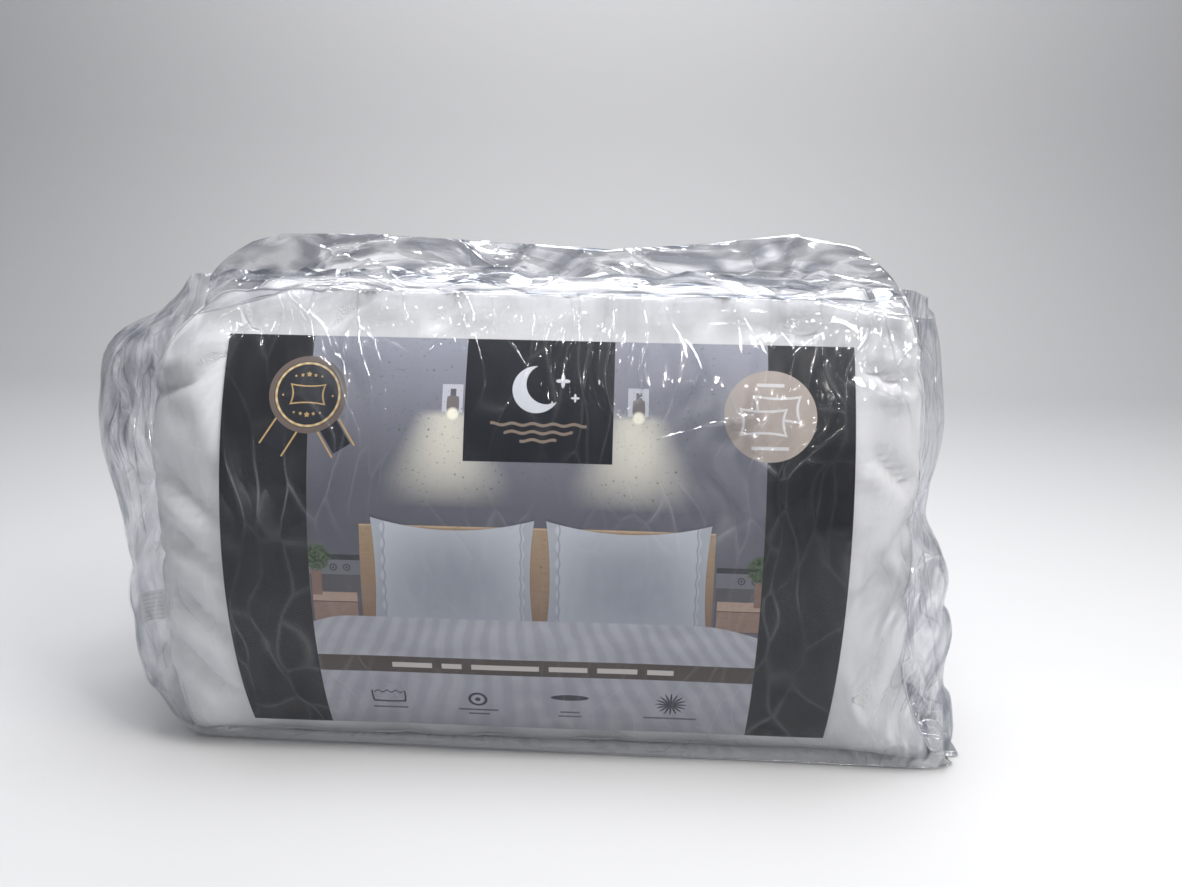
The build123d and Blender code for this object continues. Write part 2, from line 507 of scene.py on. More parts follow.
def fibre_finish():
    """Loose white fibre, matted in every direction."""
    material, start, shader = new_material("fibre_filling")
    body = start.node("ShaderNodeTexCoord", output=3)
    strand = body.node(
        "ShaderNodeTexNoise", (), {"Vector": body, "Scale": 160.0, "Detail": 5.0, "Distortion": 2.5})
    bump = strand.node("ShaderNodeBump", (), {"Strength": 0.7, "Distance": 0.002, "Height": strand})
    colour = mix(strand, (0.72, 0.72, 0.72, 1), (0.88, 0.88, 0.87, 1))
    feed(start, shader, Base_Color=colour, Roughness=0.95, Normal=bump)
    return material


def thread_finish():
    """Twisted white thread."""
    material, start, shader = new_material("white_thread")
    body = start.node("ShaderNodeTexCoord", output=3)
    twist = body.node("ShaderNodeTexWave", (), {"Vector": body, "Scale": 420.0, "Distortion": 1.5})
    bump = twist.node("ShaderNodeBump", (), {"Strength": 0.4, "Distance": 0.0003, "Height": twist})
    colour = mix(twist, (0.66, 0.67, 0.70, 1), (0.84, 0.84, 0.85, 1))
    feed(start, shader, Base_Color=colour, Roughness=0.7, Normal=bump)
    return material


def label_finish():
    """White satin tape with a few plain grey bars."""
    material, start, shader = new_material("label_satin")
    place = start.node("ShaderNodeUVMap", {"uv_map": "UVMap"})
    across = place.node("ShaderNodeSeparateXYZ", (), {0: place})
    up = place.node("ShaderNodeSeparateXYZ", (), {0: place}, output=1)
    margins = across.math("GREATER_THAN", 0.2) * across.math("LESS_THAN", 0.85)
    bars = (up * 7).math("FRACT").math("LESS_THAN", 0.32) * margins
    ribs = (up * 180).math("SINE")
    bump = ribs.node("ShaderNodeBump", (), {"Strength": 0.2, "Distance": 0.0002, "Height": ribs})
    colour = mix(bars * 0.3, (0.80, 0.80, 0.80, 1), (0.25, 0.25, 0.28, 1))
    feed(start, shader, Base_Color=colour, Roughness=0.42 + bars * 0.2, Normal=bump)
    return material


def bead(name, path, radius, closed=False):
    """A round bead that follows a path, as a closed mesh."""
    curve = bpy.data.curves.new(name, "CURVE")
    curve.dimensions = "3D"
    curve.bevel_depth = radius
    curve.bevel_resolution = 2
    curve.use_fill_caps = True
    line = curve.splines.new("POLY")
    line.points.add(len(path) - 1)
    line.points.foreach_set("co", np.column_stack([path, np.ones(len(path))]).ravel())
    line.use_cyclic_u = closed
    made = bpy.data.objects.new(name, curve)
    bpy.context.scene.collection.objects.link(made)
    pick(made)
    bpy.ops.object.convert(target="MESH")
    bpy.ops.object.shade_smooth()
    return bpy.context.object


def make_filling(name, cover):
    """The fibre, which fills the casing nearly to its skin."""
    pick(cover)
    bpy.ops.object.duplicate()
    filling = bpy.context.object
    filling.name = name + "_filling"
    filling.parent = None
    rows = coordinates(cover)
    middle = (rows.min(axis=0) + rows.max(axis=0)) / 2
    middle[1] = casing_rims[name][:, 1].mean()
    put_coordinates(filling, middle + (rows - middle) * [0.985, 0.94, 0.985])
    filling.data.materials.clear()
    filling.data.materials.append(fibre)
    return filling


def make_stitches(name, hand):
    """A row of short hand stitches along one end, on the seam's near face."""
    rim = casing_rims[name]
    end = rim[(hand * rim[:, 0] > 0.30)]
    end = end[np.argsort(end[:, 2])]
    bpy.ops.object.select_all(action="DESELECT")
    bpy.ops.mesh.primitive_uv_sphere_add(segments=8, ring_count=6, radius=STITCH_RADIUS)
    pattern = bpy.context.object
    round_rows = coordinates(pattern)
    round_rows[:, 2] += np.sign(round_rows[:, 2]) * (STITCH_LENGTH / 2 - STITCH_RADIUS)
    middle = (end[0, 2] + end[-1, 2]) / 2
    made = []
    for step in range(STITCHES):
        height = middle + (step - (STITCHES - 1) / 2) * STITCH_PITCH
        x = np.interp(height, end[:, 2], end[:, 0])
        y = np.interp(height, end[:, 2], end[:, 1])
        pick(pattern)
        bpy.ops.object.duplicate()
        stitch = bpy.context.object
        lean = 0.12 * math.sin(step * 2.4)
        rows = round_rows.copy()
        rows[:, 0] += rows[:, 2] * lean
        put_coordinates(stitch, rows + [x - hand * 0.0006, y - SEAM_RADIUS - 0.0001, height])
        made.append(stitch)
    bpy.data.objects.remove(pattern)
    bpy.ops.object.select_all(action="DESELECT")
    for stitch in made:
        stitch.select_set(True)
    bpy.context.view_layer.objects.active = made[0]
    bpy.ops.object.join()
    row = bpy.context.object
    row.name = name + "_stitches"
    bpy.ops.object.shade_smooth()
    row.data.materials.append(thread)
    return row


def make_label(name, hand):
    """A small tape that leaves the seam and curls back towards the casing."""
    low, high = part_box(name + "_care_label")
    label, flat = flat_grid(name + "_label", LABEL_CELLS)
    length, width = high.x - low.x, high.z - low.z
    out = (flat[:, 0] + 0.5) * length
    radius = length / LABEL_CURL
    angle = out / radius
    height = (low.z + high.z) / 2 + flat[:, 1] * width
    rim = casing_rims[name]
    end = rim[hand * rim[:, 0] > 0.30]
    end = end[np.argsort(end[:, 2])]
    root = np.interp((low.z + high.z) / 2, end[:, 2], end[:, 0])
    x = root + hand * (radius * np.sin(angle) + 0.0008)
    y = (low.y + high.y) / 2 - radius * (1 - np.cos(angle)) - 0.0006 * np.sin(9 * flat[:, 1])
    put_coordinates(label, np.column_stack([x, y, height]))
    solid = label.modifiers.new("tape", "SOLIDIFY")
    solid.thickness = 0.0003
    solid.offset = 0
    bpy.ops.object.modifier_apply(modifier="tape")
    bpy.ops.object.shade_smooth_by_angle(angle=math.radians(40))
    label.data.materials.append(tape)
    return label


cotton, edging, fibre = cotton_finish(), edge_finish(), fibre_finish()
thread, tape = thread_finish(), label_finish()
for name, cover, hand in (("front", front_pillow, 1), ("rear", rear_pillow, -1)):
    cover.data.materials.append(cotton)
    filling = make_filling(name, cover)
    seam = bead(name + "_seam", casing_rims[name], SEAM_RADIUS, closed=True)
    seam.data.materials.append(edging)
    stitches = make_stitches(name, hand)
    label = make_label(name, -hand)
    pieces = (
        (filling, "_fibre_core", "fibre"), (seam, "_edge_seam", "cotton_edge"),
        (stitches, "_closing_stitch", "thread"), (label, "_care_label", "label"))
    for piece, node, slot in pieces:
        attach(piece, name + "_pillow")
        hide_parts(name + node)

# Printed card ---------------------------------------------------------------------------------
# One sheet of coated paper, 552 x 390 mm, slipped between the bag and the front pillow and bowed
# over its belly. The print is a bedroom with dark side bands, an emblem, a badge and a disc.
CARD_SIZE = (0.552, 0.390)
CARD_CELLS = (110, 78)
CARD_THICKNESS = 0.0004
CARD_WAVE = 0.0009
EDGE_SOFT = 0.35


def ink(red, green, blue):
    """A printed colour, given as it looks on paper from 0 to 255, as linear light."""
    return (*[((c / 255 + 0.055) / 1.055) ** 2.4 for c in (red, green, blue)], 1)


class Print:
    """The artwork, built up in layers. x runs right and y down from the card's corner, in mm."""

    def __init__(self, start):
        place = start.node("ShaderNodeUVMap", {"uv_map": "UVMap"})
        flat = place.node("ShaderNodeSeparateXYZ", (), {0: place})
        self.x = flat * (CARD_SIZE[0] / MM)
        across = place.node("ShaderNodeSeparateXYZ", (), {0: place}, output=1)
        self.y = (1 - across) * (CARD_SIZE[1] / MM)
        self.point = place.node("ShaderNodeCombineXYZ", (), {0: self.x, 1: self.y})
        self.colour = ink(150, 152, 162)

    def paint(self, mask, colour):
        self.colour = mix(mask, self.colour, colour)

    def span(self, value, low, high, soft=EDGE_SOFT):
        """1 where value is between low and high."""
        half = (high - low) / 2
        off = (value - (low + half)).math("ABSOLUTE")
        return off.math("MULTIPLY_ADD", -1 / soft, half / soft + 0.5, clamp=True)

    def box(self, x0, x1, y0, y1, soft=EDGE_SOFT):
        return self.span(self.x, x0, x1, soft) * self.span(self.y, y0, y1, soft)

    def away(self, x, y):
        """Distance from a point on the card."""
        return self.point.node(
            "ShaderNodeVectorMath", {"operation": "DISTANCE"}, {0: self.point, 1: (x, y, 0)}, output=1)

    def disc(self, x, y, radius, soft=EDGE_SOFT):
        return self.away(x, y).math("MULTIPLY_ADD", -1 / soft, radius / soft + 0.5, clamp=True)

    def ring(self, x, y, inner, outer):
        return self.span(self.away(x, y), inner, outer)

    def star(self, x, y, radius, points=5, notch=0.55):
        """A star with its first point straight up."""
        turn = (self.x - x).math("ARCTAN2", y - self.y)
        wave = (turn * (points / math.tau)).math("PINGPONG", 0.5) * 2
        edge = 1 - wave * notch
        away = self.away(x, y) / edge
        return away.math("MULTIPLY_ADD", -1 / EDGE_SOFT, radius / EDGE_SOFT + 0.5, clamp=True)

    def line(self, x0, y0, x1, y1, width, soft=EDGE_SOFT):
        """A straight stroke between two points."""
        length = math.hypot(x1 - x0, y1 - y0)
        along_x, along_y = (x1 - x0) / length, (y1 - y0) / length
        from_x, from_y = self.x - x0, self.y - y0
        along = from_x * along_x + from_y * along_y
        off = from_x * -along_y + from_y * along_x
        return self.span(along, 0, length, soft) * self.span(off, -width / 2, width / 2, soft)

    def pillow(self, x, y, half_x, half_y, pinch, soft=EDGE_SOFT, sag=1.3):
        """A pillow seen from the front: a box whose sides curve in between its corners."""
        u, v = (self.x - x) / half_x, (self.y - y) / half_y
        reach_x = u.math("ABSOLUTE") + pinch * (1 - v * v).clamped()
        reach_y = v.math("ABSOLUTE") + sag * pinch * (1 - u * u).clamped()
        least = reach_x.math("MAXIMUM", reach_y)
        return least.math("MULTIPLY_ADD", -half_y / soft, half_y / soft + 0.5, clamp=True)

    def noise(self, scale, stretch=(1, 1), detail=2.0):
        """Soft random variation, in cycles per mm, from 0 to 1."""
        spot = self.point.node(
            "ShaderNodeVectorMath", {"operation": "MULTIPLY"},
            {0: self.point, 1: (scale * stretch[0], scale * stretch[1], 1)})
        return spot.node("ShaderNodeTexNoise", (), {"Vector": spot, "Scale": 1.0, "Detail": detail})


def paint_wall(art):
    """The bedroom wall, darker towards the floor and low on the left, with two pools of lamp light."""
    down = (art.y / 170).clamped()
    art.colour = mix(down ** 0.8, ink(158, 160, 172), ink(92, 92, 102))
    side = ((art.x - 60) / 220).clamped()
    art.paint((1 - side) * down * 0.55, ink(74, 74, 84))
    art.paint(art.noise(0.02, (1, 1.6)) * 0.25, ink(120, 122, 132))
    for x in (197, 359):
        cone = ((art.y - 66) / 60).clamped()
        spread = (art.x - x - 3) / (30 + cone * 30)
        beam = (1 - spread * spread).clamped() ** 1.5
        reach = (1 - ((art.y - 88) / 62) ** 2).clamped()
        lit = ((art.y - 64) / 7).clamped()
        art.paint(beam * reach * lit * 0.85, ink(232, 228, 212))
        art.paint(art.box(x - 3, x + 15, 42, 67), ink(196, 198, 206))
        art.paint(art.box(x + 4, x + 9, 46, 56), ink(96, 94, 100))
        art.paint(art.pillow(x + 6.5, 60, 5, 7, -0.1), ink(120, 112, 112))
        art.paint(art.disc(x + 6.5, 68, 5.0, 2.5), ink(255, 250, 230))


def paint_furniture(art):
    """Headboard, bedside tables, socket rails and small plants."""
    for x0, x1, y0 in ((77, 123, 195), (437, 480, 197)):
        art.paint(art.box(x0, x1, y0, 232), ink(112, 113, 120))
        art.paint(art.box(x0, x1, y0, y0 + 5), ink(48, 50, 54))
        art.paint(art.box(x0, x1, y0 + 19, y0 + 20), ink(72, 73, 78))
        for x in (x0 + 22, x0 + 34):
            art.paint(art.ring(x, y0 + 12, 2.2, 3.4), ink(66, 67, 72))
            art.paint(art.disc(x, y0 + 12, 1.0), ink(60, 61, 66))
        art.paint(art.box(x0, x1, y0 + 20, 260), ink(84, 82, 88))
    grain = art.noise(0.5, (0.12, 1.6), 3)
    wood = mix(grain, ink(150, 126, 98), ink(182, 156, 126))
    shaded = mix(grain, ink(118, 94, 74), ink(146, 118, 94))
    light = mix((art.y - 166).math("MULTIPLY_ADD", 1 / 86, 0.0, clamp=True), wood, shaded)
    art.paint(art.box(123, 435, 166.5, 262), light)
    art.paint(art.box(123, 435, 166.5, 168), ink(196, 170, 138))
    for x0, x1, y in ((79, 119, 231), (439, 480, 229)):
        art.paint(art.box(x0, x1, y, y + 30), mix(grain, ink(124, 100, 88), ink(154, 128, 114)))
        art.paint(art.box(x0, x1, y, y + 9), mix(grain, ink(158, 134, 120), ink(186, 160, 144)))
        art.paint(art.box(x0, x1, y + 9, y + 10), ink(92, 66, 52))
    leaves = art.noise(0.32, (1, 1), 3)
    for x in (83, 475):
        art.paint(art.box(x - 4, x + 5, 210, 234), ink(128, 100, 88))
        reach = (1 - art.away(x + 1, 198) / 15).clamped() + leaves * 0.9
        bush = reach.math("MULTIPLY_ADD", 9.0, -5.2, clamp=True)
        art.paint(bush, mix((leaves * 3 - 1).clamped(), ink(24, 34, 26), ink(88, 108, 76)))


def paint_bed(art):
    """Two plump pillows against the headboard and a striped quilt that fills the foot of the card."""
    for x in (205, 359.5):
        art.paint(art.pillow(x, 213, 72, 55, 0.06, 3.0, 3.6) * 0.4, ink(52, 46, 46))
        u, v = (art.x - x) / 72, (art.y - 214) / 54
        edge_wave = (art.y * 0.42).math("SINE") * 1.2 + art.noise(0.09) * 3.0
        flange = art.pillow(x, 213, 72, 53, 0.05, sag=3.8)
        hollow = ((1 - u * u) * (1 - v * v)).clamped() ** 0.7
        tone = mix(hollow, ink(206, 211, 218), ink(146, 151, 160))
        tone = mix(((art.y - 185) / 75).clamped() * 0.5, tone, ink(118, 122, 132))
        tone = mix(art.noise(0.05, (1.8, 0.8)) * 0.35, tone, ink(186, 191, 200))
        art.paint(flange, tone)
        inner = art.span(art.x + edge_wave, x - 61, x + 64, 1.2)
        art.paint((1 - inner) * flange * 0.28, ink(96, 100, 110))
        hem = art.span(u.math("ABSOLUTE") * 72 + edge_wave * 0.5, 60.5, 61.8, 0.8)
        art.paint(hem * flange * 0.5, ink(104, 108, 118))
    fall = ((art.x - 430) / 50).clamped() ** 1.5 * 11 + ((112 - art.x) / 34).clamped() ** 2 * 7
    quilt = (art.y - 254.5 - fall).math("MULTIPLY_ADD", 1.2, 0.5, clamp=True)
    fan = (art.x - 250) / (1 + (art.y - 255) * 0.004) + art.noise(0.02) * 14
    stripe = (fan * (1 / 15)).math("PINGPONG", 0.5)
    satin = stripe.math("MULTIPLY_ADD", 5, -0.75, clamp=True) * 0.7
    tone = mix(satin, ink(186, 187, 193), ink(164, 166, 174))
    folds = art.noise(0.018, (1, 2.4), 3)
    tone = mix(folds.math("MULTIPLY_ADD", 1.8, -0.6, clamp=True) * 0.5, tone, ink(128, 130, 140))
    low = ((art.y - 300) / 90).clamped()
    tone = mix(low * 0.35, tone, ink(132, 131, 136))
    art.paint(quilt, tone)


# The strap's bars as widths, and the pictograms' caption bars as x, y and width
BARS = (26, 13, 44, 25, 26, 17)
CAPTIONS = (
    (137.5, 364.5, 33), (222, 364, 38), (222, 370, 20),
    (309, 363.5, 18), (309, 369.5, 22), (404, 368, 50))


def paint_strap(art):
    """The brown band with a row of plain marks, and four small pictograms below it."""
    art.paint(art.box(77, 477, 297.6, 316.6), ink(78, 68, 63))
    x = 145.0
    for width in BARS:
        art.paint(art.box(x, x + width * 1.42, 304.6, 310.4), ink(206, 201, 194))
        x += width * 1.42 + 9
    dark = ink(52, 56, 62)
    tub = art.pillow(137.5, 347, 15.5, 9.5, -0.06) - art.pillow(137.5, 346, 13.9, 8.2, -0.06)
    art.paint((tub * art.span(art.y, 341, 360)).clamped(), dark)
    water = (art.x * 0.75).math("SINE") * 1.3 + art.y
    art.paint(art.span(water, 341.6, 343.2) * art.span(art.x, 124, 151), dark)
    art.paint(art.ring(222, 349, 6.4, 9.2), dark)
    art.paint(art.disc(222, 349, 2.6), dark)
    pad = ((art.x - 309) / 18) ** 2.0 + ((art.y - 343) / 3.8) ** 2.0
    art.paint(pad.math("MULTIPLY_ADD", -5, 5.5, clamp=True), dark)
    art.paint(art.star(404, 348, 15.5, 16, 0.72), dark)
    for x, y, width in CAPTIONS:
        art.paint(art.box(x - width / 2, x + width / 2, y - 1.2, y + 1.2) * 0.8, dark)


def paint_bands(art):
    """Near-black bands down both sides, and the dark square with a moon over still water."""
    black = ink(15, 16, 22)
    art.paint(art.span(art.x, -5, 77), black)
    art.paint(art.span(art.x, 477, 560), black)
    art.paint(art.box(213.7, 343.7, -5, 109), ink(9, 17, 27))
    pale = ink(214, 217, 222)
    moon = art.disc(276, 45, 21) - art.disc(285, 40, 18)
    art.paint(moon.clamped(), pale)
    for x, y, size in ((299, 37, 6.5), (310, 52, 4), (290, 58, 3)):
        art.paint(art.star(x, y, size, 4, 0.72), pale)
    for row, half in ((76, 42), (83, 30), (90, 16)):
        wave = (art.x * 0.35).math("SINE") * 0.9 + art.y
        reach = art.span(art.x, 278.7 - half, 278.7 + half)
        art.paint(art.span(wave, row - 1.3, row + 1.3) * reach, ink(139, 124, 110))


def paint_badge(art):
    """A round badge with stars and a small pillow, on two ribbon tails edged with gold."""
    gold, dark = ink(206, 172, 116), ink(26, 30, 38)
    for side in (-1, 1):
        x = 76.7
        for near, far in (((8.5, 86), (22.5, 109)), ((27.5, 75), (42, 98))):
            tail = (x + side * near[0], near[1], x + side * far[0], far[1])
            if near[0] < 10:
                mid = (x + side * 18, 80.5, x + side * 31, 101)
                art.paint(art.line(*mid, 17.5), dark)
                art.paint(art.line(x + side * 26.5, 94, x + side * 36.5, 110, 9.5), art.colour)
            art.paint(art.line(*tail, 1.5), gold)
    x, y = 75.5, 54
    art.paint(art.disc(x, y, 34.5), ink(112, 98, 92))
    art.paint(art.disc(x, y, 29.6), dark)
    twist = ((art.x - x).math("ARCTAN2", art.y - y) * 22).math("SINE") * 0.5 + 0.5
    art.paint(art.ring(x, y, 27.0, 29.0), mix(twist, gold, ink(232, 210, 166)))
    for side in (-1, 1):
        for step, size in ((0, 2.6), (1, 1.7), (2, 1.2)):
            for hand in ((-1, 1) if step else (1,)):
                art.paint(art.star(x + hand * step * 5.8, y + side * (18 - step * 0.9), size), gold)
        art.paint(art.disc(x + side * 22, y + 1, 0.9), gold)
    art.paint(art.pillow(x, y, 16, 9.5, 0.13) - art.pillow(x, y, 14.4, 8.0, 0.13), gold)


def paint_disc(art):
    """The brown disc, with a pair of pillows and two plain bars."""
    art.paint(art.disc(479, 63.5, 40), ink(178, 166, 157))
    pale = ink(222, 220, 220)
    for x, y in ((485, 57.5), (473, 69)):
        art.paint(art.pillow(x, y, 21, 12.5, 0.13), ink(178, 166, 157))
        art.paint(art.pillow(x, y, 21, 12.5, 0.13) - art.pillow(x, y, 18.4, 10, 0.13), pale)
    art.paint(art.box(467, 491, 35, 38), pale)
    art.paint(art.box(463, 495, 90, 93), pale)


def print_finish():
    """Ink on coated paper, with a faint grain and a soft gloss."""
    material, start, shader = new_material("printed_card")
    art = Print(start)
    for layer in (paint_wall, paint_furniture, paint_bed, paint_strap, paint_bands, paint_badge, paint_disc):
        layer(art)
    grain = art.noise(0.35, detail=2.0)
    worn = mix(grain * 0.008, art.colour, ink(205, 205, 208))
    sway = art.noise(0.02, (1, 2.2), 1.0)
    bump = sway.node("ShaderNodeBump", (), {"Strength": 0.3, "Distance": 0.0012, "Height": sway})
    feed(start, shader, Base_Color=worn, Roughness=0.36 + sway * 0.14, Normal=bump, Specular_IOR_Level=0.25)
    return material


def make_card():
    """A thin bowed sheet that follows the CAD card, with slight waves where the film doesn't press it."""
    low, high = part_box("insert_card")
    card, flat = flat_grid("printed_card", CARD_CELLS)
    turn = flat[:, 1] * CARD_SIZE[1] / CARD_RADIUS
    x = (low.x + high.x) / 2 + flat[:, 0] * CARD_SIZE[0]
    wave = CARD_WAVE * np.sin(9 * x + 1.0) * np.cos(3 * turn) + 0.0006 * np.sin(26 * x + 4 * turn)
    y = low.y + CARD_RADIUS * (1 - np.cos(turn)) + CARD_WAVE + wave
    z = (low.z + high.z) / 2 + CARD_RADIUS * np.sin(turn)
    put_coordinates(card, np.column_stack([x, y, z]))
    bpy.ops.object.mode_set(mode="EDIT")
    bpy.ops.mesh.select_all(action="SELECT")
    bpy.ops.mesh.flip_normals()
    bpy.ops.object.mode_set(mode="OBJECT")
    solid = card.modifiers.new("paper", "SOLIDIFY")
    solid.thickness = CARD_THICKNESS
    solid.offset = -1
    bpy.ops.object.modifier_apply(modifier="paper")
    bpy.ops.object.shade_smooth_by_angle(angle=math.radians(40))
    card.data.materials.append(print_finish())
    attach(card, "card")
    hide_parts("insert_card")
    return card


printed_card = make_card()

# Film bag -------------------------------------------------------------------------------------
# A gusseted bag of clear film, welded along its front and back panels' edges, open at the top. It
# hugs the two pillows and the card, stands off them in slack ears, and is crumpled all over.
FILM_COLUMNS = (150, 32, 150, 32)
FILM_LEVELS = 76
BASE_ROWS = 9
FILM_EASE = 0.0022
FILM_THICKNESS = 0.0003
# Which way the finish draws out its creases: up and down the walls, or along the mouth
UPRIGHT_CREASES = (1.5, 1.0, 0.42)
LEVEL_CREASES = (0.42, 1.0, 1.3)
MOUTH_HEIGHT = 0.444
BACK_WALL = 0.1385
PANEL_CORNERS = ((-0.80, -0.60), (0.80, -0.60), (0.80, 0.60), (-0.80, 0.60))
# How high the walls reach at columns round the bag, and how far each end stands off at a height
EDGE_HEIGHTS = (
    (0, 0.405), (22, 0.442), (128, 0.442), (150, 0.424), (166, 0.440),
    (182, 0.444), (332, 0.444), (346, 0.436), (364, 0.405))
LEFT_SLACK = (
    (0, 0.004), (0.078, 0.026), (0.25, 0.030), (0.33, 0.042), (0.37, 0.040), (0.41, 0.018), (0.444, 0.010))
RIGHT_SLACK = (
    (0, 0.026), (0.06, 0.030), (0.18, 0.030), (0.215, 0.014), (0.25, 0.002), (0.36, 0.004), (0.444, 0.012))
# Where the film is gathered over the card, more crumpled and with more painted streaks and highlights: place
# (x, z), spread and strength
PULLS = (
    (0.175, 0.345, 0.055, 0.7), (0.165, 0.265, 0.04, 0.5), (-0.165, 0.365, 0.035, 0.6),
    (-0.235, 0.285, 0.035, 0.5), (0.10, 0.40, 0.05, 0.4), (0.335, 0.19, 0.045, 0.8),
    (0.30, 0.42, 0.06, 0.7), (-0.31, 0.40, 0.05, 0.6))
FILM_LOW = 0.0008
# Height over which the film is painted whiter and shinier near the floor, over the shade under the pillows
FOOT_PAINTED_LIGHT = 0.026


def hull(points):
    """The convex outline of points in the plane, counter-clockwise."""
    points = sorted(set(map(tuple, np.round(points, 5))))
    chains = []
    for run in (points, points[::-1]):
        chain = []
        for x, y in run:
            while len(chain) > 1:
                (x0, y0), (x1, y1) = chain[-2:]
                if (x1 - x0) * (y - y1) - (y1 - y0) * (x - x1) > 0:
                    break
                chain.pop()
            chain.append((x, y))
        chains.append(chain[:-1])
    return np.array(chains[0] + chains[1])


def taut_loop(outline):
    """The outline as evenly spaced points between its panel corners."""
    ends = [int(np.argmax(outline @ np.array(corner))) for corner in PANEL_CORNERS]
    loop = []
    for start, end, count in zip(ends, ends[1:] + ends[:1], FILM_COLUMNS):
        last = end if end > start else end + len(outline)
        stretch = outline[np.arange(start, last + 1) % len(outline)]
        run = np.append(0, np.cumsum(np.linalg.norm(np.diff(stretch, axis=0), axis=1)))
        places = np.linspace(0, run[-1], count, endpoint=False)
        loop.append(np.column_stack([np.interp(places, run, stretch[:, k]) for k in (0, 1)]))
    return np.concatenate(loop)


def packed_loops(contents):
    """A taut loop round the contents at each level, from the floor to the mouth."""
    levels = np.linspace(0, MOUTH_HEIGHT, FILM_LEVELS)
    loops = []
    for level in levels:
        near = contents[abs(contents[:, 2] - np.clip(level, 0.006, 0.432)) < 0.008][:, :2]
        outline = hull(near)
        if level > 0.2:
            reach = outline[:, 1].max()
            share = min((level - 0.2) / 0.1, 1)
            wall_y = reach + (BACK_WALL - reach) * share
            half = 0.355 + 0.03 * share
            outline = hull(np.vstack([outline, [[-half, wall_y], [half, wall_y]]]))
        loops.append(taut_loop(outline))
    loops = np.array(loops)
    for _ in range(6):
        loops[1:-1] = (loops[:-2] + 2 * loops[1:-1] + loops[2:]) / 4
        loops = (np.roll(loops, 1, axis=1) + 2 * loops + np.roll(loops, -1, axis=1)) / 4
    return levels, loops


def facets(spots, size, seed):
    """Crumple: 0 in the middle of each random facet, rising to sharp ridges where facets meet."""
    out = np.empty(len(spots))
    for index, (u, v) in enumerate(spots):
        reach = noise.voronoi(Vector((u / size[0], v / size[1], seed)))[0]
        out[index] = min(reach[0] / 0.8, 1)
    return out


def folds(spots, lean, width, seed):
    """Long sharp folds that run along one direction, and wander and fade a little."""
    out = np.empty(len(spots))
    for index, (u, v) in enumerate(spots):
        drift = noise.noise(Vector((u * 5, v * 5, seed)))
        ramp = (u * math.cos(lean) + v * math.sin(lean)) / width + 1.3 * drift
        crest = 1 - abs(2 * (ramp % 1) - 1)
        keep = noise.noise(Vector((u * 7, v * 7, seed + 9)))
        out[index] = crest ** 3 * min(max(keep * 2.5 + 0.3, 0), 1)
    return out


def bump_at(value, middle, half):
    """A soft bump from 0 to 1 over middle - half .. middle + half."""
    return np.clip(1 - ((value - middle) / half) ** 2, 0, 1) ** 1.5


def surface_tree(thing):
    """A mesh object's faces, for finding the nearest one or the one that a ray meets."""
    return BVHTree.FromPolygons(coordinates(thing).tolist(), [p.vertices[:] for p in thing.data.polygons])


def keep_clear(rows, things, gap):
    """Pushes points out of the things that they cover, and holds them off by a gap."""
    trees = [surface_tree(thing) for thing in things]
    for _ in range(2):
        for spot in rows:
            for tree in trees:
                hit, normal, _, _ = tree.find_nearest(Vector(spot), 0.04)
                if hit is not None and (Vector(spot) - hit).dot(normal) < gap:
                    spot[:] = hit + normal * gap
    return rows


def lofted_sheet(name, places, closed, loose):
    """A sheet of film through rows of places, closed round its columns where closed is true. Its
    attribute says how loose the film is at each place, which its finish reads."""
    deep, wide = places.shape[:2]
    if closed:
        places = np.concatenate([places, places[:, :1]], axis=1)
        loose = np.concatenate([loose, loose[:, :1]], axis=1)
        wide += 1
    sheet, flat = flat_grid(name, (wide - 1, deep - 1))
    across = np.rint((flat[:, 0] + 0.5) * (wide - 1)).astype(int)
    up = np.rint((flat[:, 1] + 0.5) * (deep - 1)).astype(int)
    put_coordinates(sheet, places[up, across])
    marks = sheet.data.attributes.new("loose", "FLOAT", "POINT")
    marks.data.foreach_set("value", loose[up, across].astype(np.float32))
    bpy.ops.object.mode_set(mode="EDIT")
    bpy.ops.mesh.select_all(action="SELECT")
    bpy.ops.mesh.remove_doubles(threshold=1e-6)
    bpy.ops.object.mode_set(mode="OBJECT")
    return sheet


def finish_film(sheet, haze, creases):
    """Gives a sheet of film its thickness and its clear finish."""
    solid = sheet.modifiers.new("film", "SOLIDIFY")
    solid.thickness = FILM_THICKNESS
    solid.offset = -1
    bpy.context.view_layer.objects.active = sheet
    bpy.ops.object.modifier_apply(modifier="film")
    bpy.ops.object.shade_smooth()
    sheet.data.materials.append(film_finish(sheet.name + "_finish", haze, creases))


